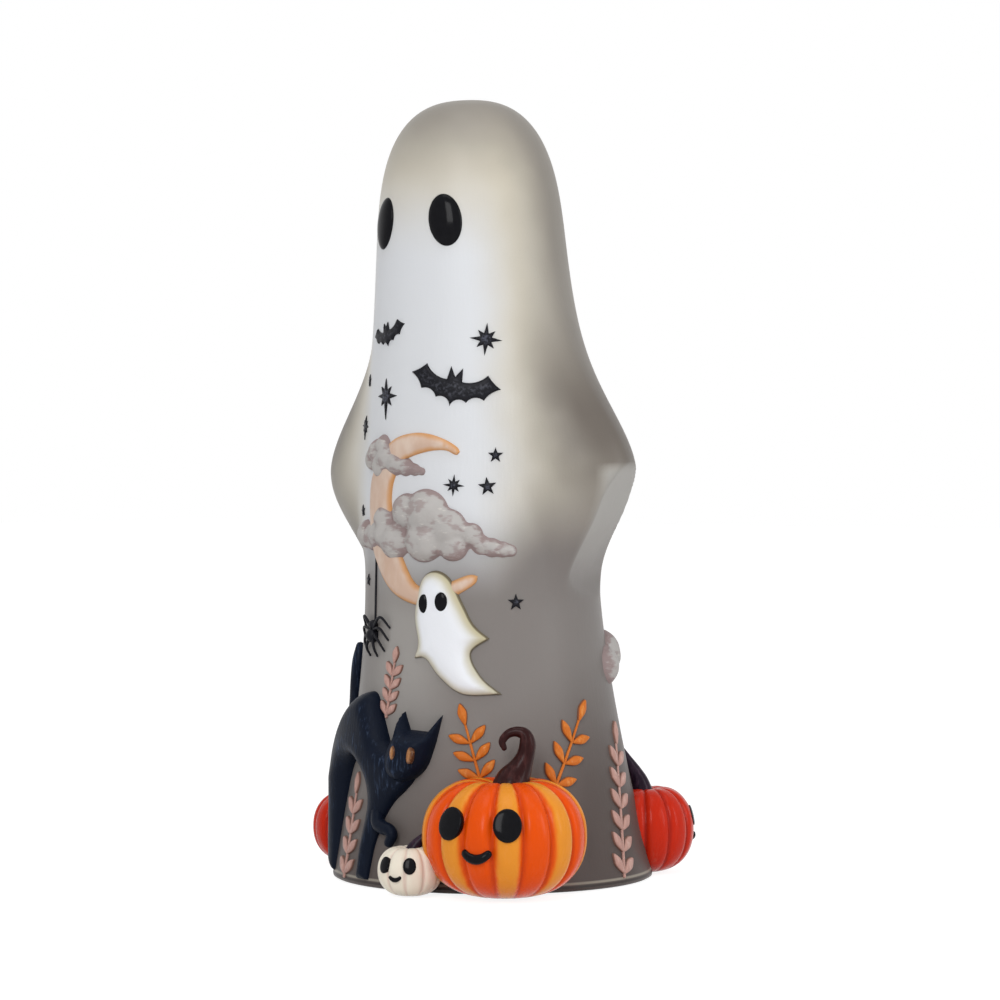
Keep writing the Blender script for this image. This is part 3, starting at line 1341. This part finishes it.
class Pumpkin:
    """Ribbed pumpkin that stands on the floor."""

    def __init__(self, bearing, reach, width, height, ribs, face, eyes, smile):
        self.middle = reach * bearing_way(bearing)
        self.width = width
        self.height = height
        self.ribs = ribs
        self.face = face
        self.eyes = eyes
        self.smile = smile

    def crest(self, turn):
        """1 along the middle of each rib, 0 in the grooves."""
        return np.abs(np.cos(np.radians(turn) * self.ribs / 2))

    def point(self, turn, rise):
        """Skin at turns from the face and rises from -90 at the foot to 90 at the crown, in degrees."""
        rise = np.radians(rise)
        groove = (1 - self.crest(turn)) ** RIB_SHARP
        flat = np.cos(rise) ** PUMPKIN_SQUARE
        reach = self.width / 2 * flat * (1 - RIB_DEPTH * groove * np.cos(rise) ** RIB_FADE)
        lift = np.sign(np.sin(rise)) * np.abs(np.sin(rise)) ** PUMPKIN_ROUND
        dip = CROWN_DIP * np.exp(-(flat / CROWN_REACH) ** 2) + RIB_SAG * groove * flat
        level = np.maximum(self.height * ((1 + lift) / 2 - dip * (rise > 0)), PUMPKIN_FOOT)
        angle = np.radians(turn + self.face)
        return self.middle + np.stack([reach * np.sin(angle), -reach * np.cos(angle), level + 0 * angle], -1)

    def rise_at(self, share):
        """Rise in degrees of a level given as a share of the height."""
        return math.degrees(math.asin(2 * share - 1))

    def axes(self, turn, rise):
        """Point on the skin, with directions across, up and out that pass over the grooves."""
        crest_turn = round(turn * self.ribs / 360) * 360 / self.ribs
        step = 1.0
        across = bearing_way(self.face + turn + 90)
        up = self.point(crest_turn, rise + step) - self.point(crest_turn, rise - step)
        up = up @ bearing_way(self.face + crest_turn) * bearing_way(self.face + turn) + (0, 0, up[2])
        up /= np.linalg.norm(up)
        return self.point(turn, rise), across, up, np.cross(across, up)

    def body(self):
        """Closed ribbed skin, painted with its crests and alternate ribs."""
        columns = self.ribs * RIB_COLUMNS
        turn = np.linspace(0, 360, columns, endpoint=False)
        rises = np.linspace(-PUMPKIN_POLE, PUMPKIN_POLE, PUMPKIN_ROWS)
        rings = [self.point(turn, rise) for rise in rises]
        stripe = -np.cos(np.radians(turn) * self.ribs / 2)
        place = np.tile(np.column_stack([self.crest(turn), stripe, np.zeros(columns)]), (PUMPKIN_ROWS, 1))
        ends = [self.middle + (0, 0, rings[0][0][2]), self.middle + (0, 0, rings[-1][:, 2].min())]
        place = np.vstack([place, (1, 0, 0), (1, 0, 0)])
        points = np.vstack([*rings, *ends])
        bearing, level, reach = bearing_and_level(points)
        buried = skin_radius(bearing, level) - PUMPKIN_BURY
        points = np.where((reach < buried)[:, None], skin(bearing, level, -PUMPKIN_BURY), points)
        return Clay().join(points, closed_faces(PUMPKIN_ROWS, columns), None, place)

    def face_parts(self):
        """Two domed eyes and a smile."""
        clay = Clay()
        spread, width, height = self.eyes
        rise = PUMPKIN_EYE_RISE * math.sqrt(width / FRONT_EYE_WIDTH)
        for turn in (-spread, spread):
            axes = self.axes(turn, self.rise_at(PUMPKIN_EYE_SHARE))
            dome(clay, *axes, width, height, rise, PUMPKIN_EYE_SINK)
        share = np.linspace(-1, 1, SMILE_STEPS)
        turns = np.degrees(share * self.smile / self.width)
        drop = SMILE_DIP * self.smile * (1 - share ** 2)
        rises = [self.rise_at(SMILE_SHARE - d / self.height) for d in drop]
        line = np.array([self.point(turn, rise) for turn, rise in zip(turns, rises)])
        line = line + SMILE_LIFT * bearing_way(self.face)
        thick = SMILE_RADIUS * self.smile * (1 - SMILE_TAPER * share ** 2)
        return tube(clay, line, thick, sides=12)

    def stem(self, bearing, places):
        """Curled stem on the crown."""
        way = bearing_way(bearing)
        crown = self.middle + (0, 0, self.height * (1 - STEM_SEAT * CROWN_DIP))
        stations = [(*(crown + along * way + (0, 0, up)), radius) for along, up, radius in places]
        line = smooth_line(stations, steps=7)
        return tube(Clay(), line[:, :3], line[:, 3], sides=20)


def make_pumpkins(enamel):
    """Four pumpkins with faces and stems."""
    red = pumpkin_enamel("red_enamel", RED, RED_DEEP, pale=0.2)
    orange = pumpkin_enamel("orange_enamel", ORANGE, ORANGE_DEEP, pale=0.08, stripe=YELLOW)
    cream = pumpkin_enamel("cream_enamel", CREAM_PUMPKIN, MAUVE_RIB, pale=0.2)
    skins = {
        "front_pumpkin": (orange, "pumpkin_orange"),
        "white_pumpkin": (cream, "pumpkin_white"),
        "right_pumpkin": (red, "pumpkin_red"),
        "left_pumpkin": (red, "pumpkin_red"),
    }
    maroon = stem_enamel("maroon_stem", MAROON, MAROON_RIDGE)
    plum = stem_enamel("plum_stem", PLUM, PLUM_RIDGE)
    for name, facts in PUMPKINS.items():
        pumpkin = Pumpkin(*facts)
        finish, slot = skins[name]
        show(f"{name}_striped", pumpkin.body(), finish, slot, name)
        show(f"{name}_face_enamel", pumpkin.face_parts(), enamel, "black_gloss", f"{name}_face")
        stem = maroon if name == "front_pumpkin" else plum
        show(f"{name}_stem_enamel", pumpkin.stem(*STEMS[name]), stem, "stem_maroon", f"{name}_stem")


# Sprigs: bearing, height, turn, length, leaf pairs, leaf length, leaf width and leaf angle
SPRIGS = {
    "orange_sprig_left": (33.2, 55.4, 16.0, 29.6, 3, 8.8, 3.7, 54.0),
    "orange_sprig_right": (77.5, 54.0, -29.0, 37.0, 3, 9.4, 3.8, 50.0),
    "pink_sprig_upper": (-6.2, 76.6, -8.0, 27.0, 4, 6.6, 3.2, 40.0),
    "pink_sprig_left": (-25.5, 22.0, -1.0, 40.0, 4, 8.6, 3.9, 44.0),
    "pink_sprig_right": (102.5, 32.0, -14.0, 60.0, 6, 9.4, 4.2, 42.0),
}
STALK_RADIUS = 0.55
STALK_TAPER = (1.15, 0.8)
STALK_LIFT = 0.35
STALK_STEPS = 30
STALK_INSET = 0.5
STALK_IN_TIP = 0.2
LOWEST_PAIR = 0.15
LEAF_RISE = 1.2
LEAF_EDGE = 0.9
LEAF_CROWN = 0.3
LEAF_SPACING = 0.9
LEAF_RINGS = (0.15, 0.45)

# One side of a leaf from its foot up, as shares of its width and length
LEAF_SIDE = ((0.0, 0.0), (0.30, 0.22), (0.5, 0.56), (0.30, 0.84))


def leaf_outline(length, width):
    """Pointed leaf, widest nearer to its tip, growing up from its stalk."""
    left = [(-x, y) for x, y in LEAF_SIDE[:0:-1]]
    return smooth_line([*LEAF_SIDE, (0.0, 1.0), *left], steps=5, closed=True) * (width, length)


def turned(outline, angle, middle):
    """Outline turned about its foot and moved."""
    c = math.cos(math.radians(angle))
    s = math.sin(math.radians(angle))
    return outline @ np.array([[c, s], [-s, c]]) + middle


def make_sprigs():
    """Stalks with leaf pairs and a tip leaf."""
    paints = {
        "orange": leaf_paint("leaf_orange", LEAF_ORANGE, LEAF_ORANGE_PALE),
        "pink": leaf_paint("leaf_pink", LEAF_PINK, LEAF_PINK_PALE),
    }
    rise = soft_edge(LEAF_RISE, LEAF_EDGE, LEAF_CROWN)
    for name, (bearing, height, turn, length, pairs, leaf, width, angle) in SPRIGS.items():
        colour = name.split("_")[0]
        spot = Spot(bearing, height, turn)
        outline = leaf_outline(leaf, width)
        foot = -length / 2
        tip = length / 2 - leaf
        pitch = (length - leaf) / (pairs + LOWEST_PAIR)
        levels = [foot + pitch * (i + LOWEST_PAIR) for i in range(pairs)]
        leaves = [(side, level) for level in levels for side in (angle, -angle)] + [(0.0, tip)]
        clay = Clay()
        for side, level in leaves:
            relief(clay, spot, turned(outline, side, (0.0, level)), rise, LEAF_SPACING, LEAF_RINGS)
        stalk = np.linspace(foot, tip + leaf * STALK_IN_TIP, STALK_STEPS)
        flat = np.column_stack([np.zeros(STALK_STEPS), stalk])
        base = len(clay.inset)
        radii = STALK_RADIUS * np.linspace(*STALK_TAPER, STALK_STEPS)
        tube(clay, spot.on_skin(flat, STALK_LIFT), radii, sides=8)
        clay.inset[base:] = STALK_INSET
        show(f"{name}_painted", clay, paints[colour], f"leaf_{colour}", name)


def finish_works():
    """Finishes for the plate, door, switch and light, which keep their own solids."""
    looks = {
        "base_grey": workshop("moulded_grey", (0.30, 0.29, 0.28), 0.5),
        "switch_black": workshop("moulded_black", (0.022, 0.022, 0.024), 0.42),
        "cell_jacket": workshop("cell_jacket", (0.10, 0.11, 0.13), 0.26),
        "contact_steel": workshop(
            "bright_steel", (0.62, 0.62, 0.60), 0.24, size=0.8, metallic=1.0, depth=0.02
        ),
        "board_green": workshop("board_green", (0.02, 0.15, 0.055), 0.34),
        "lamp_clear": workshop("lamp_amber", (0.92, 0.84, 0.62), 0.16),
        "lead_red": workshop("lead_red", (0.45, 0.02, 0.02), 0.45),
        "lead_black": workshop("lead_black", (0.02, 0.02, 0.02), 0.45),
    }
    for entry in frame["record"]["subparts"]:
        if entry["material_slot"] in looks:
            node = frame["nodes"][entry["node"]]
            node.data.materials.clear()
            node.data.materials.append(looks[entry["material_slot"]])


# Stage: lamps by bearing, height, reach, width, height of the panel (metres) and power, other lengths in
# millimetres
WORLD_LIGHT = 0.42
FLOOR_GLOW = 1.42
FLOOR_SHARE = 0.62
FLOOR_PALE = (0.90, 0.90, 0.90)
FLOOR_SHADE = (0.86, 0.86, 0.86)
FLOOR_HALF = 6000.0
FLOOR_DROP = 0.4
FLOOR_LUMPS = 60.0
FLOOR_ROUGH = 0.8
LAMPS = {
    "key_panel": (26.0, 0.75, 1.3, 0.45, 0.65, 7.9),
    "side_panel": (105.0, 0.55, 1.3, 0.3, 0.9, 5.0),
    "top_panel": (30.0, 1.5, 0.3, 0.9, 0.9, 5.0),
}
CAMERA_BEARING = 40.0
CAMERA_REACH = 1250.0
CAMERA_HEIGHT = 157.0
CAMERA_LENS = 117.0
CAMERA_SENSOR = 36.0
AIM_HEIGHT = 144.0
AIM_SHIFT = 3.2


def make_stage():
    """Pale floor, soft lamps and the camera at the photograph's angle."""
    half = FLOOR_HALF * MM
    floor = bpy.data.meshes.new("floor")
    corners = [(-half, -half, 0), (half, -half, 0), (half, half, 0), (-half, half, 0)]
    floor.from_pydata(corners, [], [(0, 1, 2, 3)])
    ground = bpy.data.objects.new("floor", floor)
    ground.location.z = -FLOOR_DROP * MM
    bpy.context.scene.collection.objects.link(ground)
    paint = Finish("floor")
    shade = paint.mix(FLOOR_PALE, FLOOR_SHADE, paint.grain(FLOOR_LUMPS))
    floor.materials.append(paint.finish(shade, FLOOR_ROUGH))
    glow = paint.add("ShaderNodeEmission", None, {"Color": (1, 1, 1, 1), "Strength": FLOOR_GLOW})
    lit = Value(paint, paint.shader.outputs[0])
    both = paint.add("ShaderNodeMixShader", None, {0: paint.plainly_seen() * FLOOR_SHARE, 1: lit, 2: glow})
    paint.set(paint.nodes["Material Output"].inputs[0], both)

    studio = Finish("studio", bpy.data.worlds, "Background")
    bpy.context.scene.world = studio.material
    studio.set(studio.shader.inputs["Color"], (1.0, 1.0, 1.0, 1.0))
    studio.set(studio.shader.inputs["Strength"], WORLD_LIGHT + (1 - WORLD_LIGHT) * studio.plainly_seen())

    for name, (bearing, height, reach, width, tall, power) in LAMPS.items():
        lamp = bpy.data.lights.new(name, "AREA")
        lamp.shape = "RECTANGLE"
        lamp.size = width
        lamp.size_y = tall
        lamp.energy = power
        stand = bpy.data.objects.new(name, lamp)
        stand.location = Vector(reach * bearing_way(bearing)) + Vector((0, 0, height))
        aim = Vector((0, 0, AIM_HEIGHT * MM)) - stand.location
        stand.rotation_euler = aim.to_track_quat("-Z", "Y").to_euler()
        bpy.context.scene.collection.objects.link(stand)

    camera = bpy.data.cameras.new("camera")
    camera.sensor_width = CAMERA_SENSOR
    camera.lens = CAMERA_LENS
    eye = bpy.data.objects.new("camera", camera)
    right = Vector(bearing_way(CAMERA_BEARING + 90))
    aim = (right * AIM_SHIFT + Vector((0, 0, AIM_HEIGHT))) * MM
    eye.location = aim + Vector(bearing_way(CAMERA_BEARING)) * CAMERA_REACH * MM
    eye.location.z = CAMERA_HEIGHT * MM
    eye.rotation_euler = (aim - eye.location).to_track_quat("-Z", "Y").to_euler()
    bpy.context.scene.collection.objects.link(eye)
    bpy.context.scene.camera = eye
    bpy.context.scene.view_settings.view_transform = "Standard"


enamel = gloss_black()
make_shell()
make_eyes(enamel)
make_sky()
make_moon()
make_clouds()
make_little_ghost(enamel)
make_spider(trim_black())
make_cat()
make_pumpkins(enamel)
make_sprigs()
finish_works()
make_stage()
